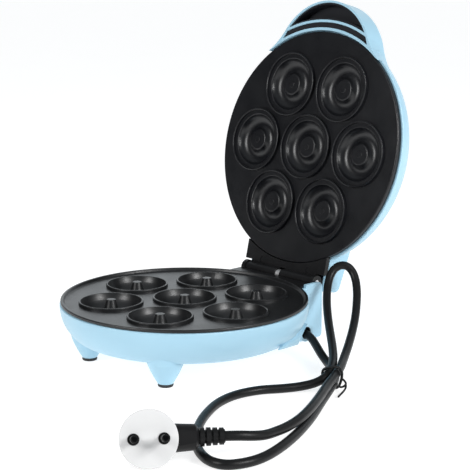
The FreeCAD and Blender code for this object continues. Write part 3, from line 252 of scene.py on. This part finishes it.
def lay_cord():
    data = bpy.data.curves.new("power_lead", "CURVE")
    data.dimensions = "3D"
    line = data.splines.new("NURBS")
    line.points.add(len(ROUTE) - 1)
    for p, (x, y, z) in zip(line.points, ROUTE):
        p.co = (x / 1000.0, y / 1000.0, z / 1000.0, 1.0)
    line.order_u = 3
    line.use_endpoint_u = True
    line.resolution_u = 10
    line.use_smooth = True
    data.bevel_mode = "ROUND"
    data.bevel_depth = 0.00325
    data.bevel_resolution = 7
    data.use_fill_caps = True
    data.materials.append(LOOKS["cord"])
    lead = bpy.data.objects.new("power_lead", data)
    scene.collection.objects.link(lead)
    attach(lead, "base")
    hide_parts("power_cord")


lay_cord()


# ---------------------------------------------------------------- floor and light
def set_stage():
    mesh = bpy.data.meshes.new("floor")
    s = 30.0
    mesh.from_pydata([(-s, -s, -0.0002), (s, -s, -0.0002), (s, s, -0.0002), (-s, s, -0.0002)], [], [(0, 1, 2, 3)])
    floor = bpy.data.objects.new("floor", mesh)
    scene.collection.objects.link(floor)
    look = Shader("floor_paper").set(Specular_IOR_Level=0.1)
    look.colour(look.mix(look.ramp(look.noise(6.0, 3.0), 0.3, 0.7), (0.50, 0.50, 0.50), (0.52, 0.52, 0.52)))
    look.rough(look.ramp(look.noise(300.0, 3.0), 0.3, 0.7, 0.85, 0.95))
    look.set(Emission_Color=(1.0, 1.0, 1.0, 1.0), Emission_Strength=FLOOR_GLOW)
    mesh.materials.append(look.m)


def softbox(name, place, aim, width, height, power):
    data = bpy.data.lights.new(name, "AREA")
    data.shape = "RECTANGLE"
    data.size, data.size_y = width, height
    data.energy = power
    ob = bpy.data.objects.new(name, data)
    scene.collection.objects.link(ob)
    ob.location = place
    ob.rotation_mode = "QUATERNION"
    ob.rotation_quaternion = (Vector(aim) - Vector(place)).to_track_quat("-Z", "Y")


def set_world():
    """Pale room: bright overhead and behind, dim low down in front."""
    world = bpy.data.worlds.new("studio")
    scene.world = world
    world.use_nodes = True
    t = world.node_tree
    t.nodes.clear()

    def add(kind, **values):
        n = t.nodes.new(kind)
        for k, v in values.items():
            setattr(n, k, v)
        return n

    def span(source, lo, hi, out_lo, out_hi):
        n = add("ShaderNodeMapRange", interpolation_type="SMOOTHSTEP")
        for k, v in (("From Min", lo), ("From Max", hi), ("To Min", out_lo), ("To Max", out_hi)):
            n.inputs[k].default_value = v
        t.links.new(source, n.inputs["Value"])
        return n.outputs["Result"]

    co = add("ShaderNodeTexCoord").outputs["Generated"]
    dot = add("ShaderNodeVectorMath", operation="DOT_PRODUCT")
    dot.inputs[1].default_value = Vector((-0.66, -0.75, 0.0)).normalized()
    t.links.new(co, dot.inputs[0])
    parts = add("ShaderNodeSeparateXYZ")
    t.links.new(co, parts.inputs[0])
    front = span(dot.outputs["Value"], -0.1, 0.55, 0.0, 1.0)
    low = span(parts.outputs["Z"], 0.45, 0.85, 1.0, 0.0)
    dim = add("ShaderNodeMath", operation="MULTIPLY")
    t.links.new(front, dim.inputs[0])
    t.links.new(low, dim.inputs[1])
    horizon = span(parts.outputs["Z"], 0.0, 0.6, WORLD[0], WORLD[1])
    strength = add("ShaderNodeMix", data_type="FLOAT")
    t.links.new(dim.outputs[0], strength.inputs[0])
    t.links.new(horizon, strength.inputs[2])
    strength.inputs[3].default_value = WORLD[2]
    behind = add("ShaderNodeVectorMath", operation="DOT_PRODUCT")
    behind.inputs[1].default_value = Vector((-0.72, 0.69, 0.10)).normalized()
    t.links.new(co, behind.inputs[0])
    wall = add("ShaderNodeMix", data_type="FLOAT")
    t.links.new(span(behind.outputs["Value"], 0.70, 0.96, 0.0, 1.0), wall.inputs[0])
    t.links.new(strength.outputs[0], wall.inputs[2])
    wall.inputs[3].default_value = WORLD[3]
    room, seen = add("ShaderNodeBackground"), add("ShaderNodeBackground")
    t.links.new(wall.outputs[0], room.inputs["Strength"])
    pick, path = add("ShaderNodeMixShader"), add("ShaderNodeLightPath")
    out = add("ShaderNodeOutputWorld")
    room.inputs["Color"].default_value = (0.91, 0.965, 1.0, 1.0)
    seen.inputs["Color"].default_value = (1.0, 1.0, 1.0, 1.0)
    t.links.new(path.outputs["Is Camera Ray"], pick.inputs["Fac"])
    t.links.new(room.outputs["Background"], pick.inputs[1])
    t.links.new(seen.outputs["Background"], pick.inputs[2])
    t.links.new(pick.outputs["Shader"], out.inputs["Surface"])


def around(turn, rise, far):
    """A place on a dome about the object; turn as the views count it."""
    a, e = math.radians(turn), math.radians(rise)
    return Vector((math.sin(a) * math.cos(e), -math.cos(a) * math.cos(e), math.sin(e))) * far + Vector((0.0, 0.0, 0.1))


WORLD = (0.40, 0.38, 0.02, 1.28)
FLOOR_GLOW = 0.77
set_stage()
set_world()
softbox("key", around(-6.0, 26.0, 1.6), (0.0, 0.0, 0.1), 0.52, 0.6, 13.0)
softbox("side", around(95.0, 26.0, 1.6), (0.0, 0.0, 0.1), 0.52, 0.6, 17.0)
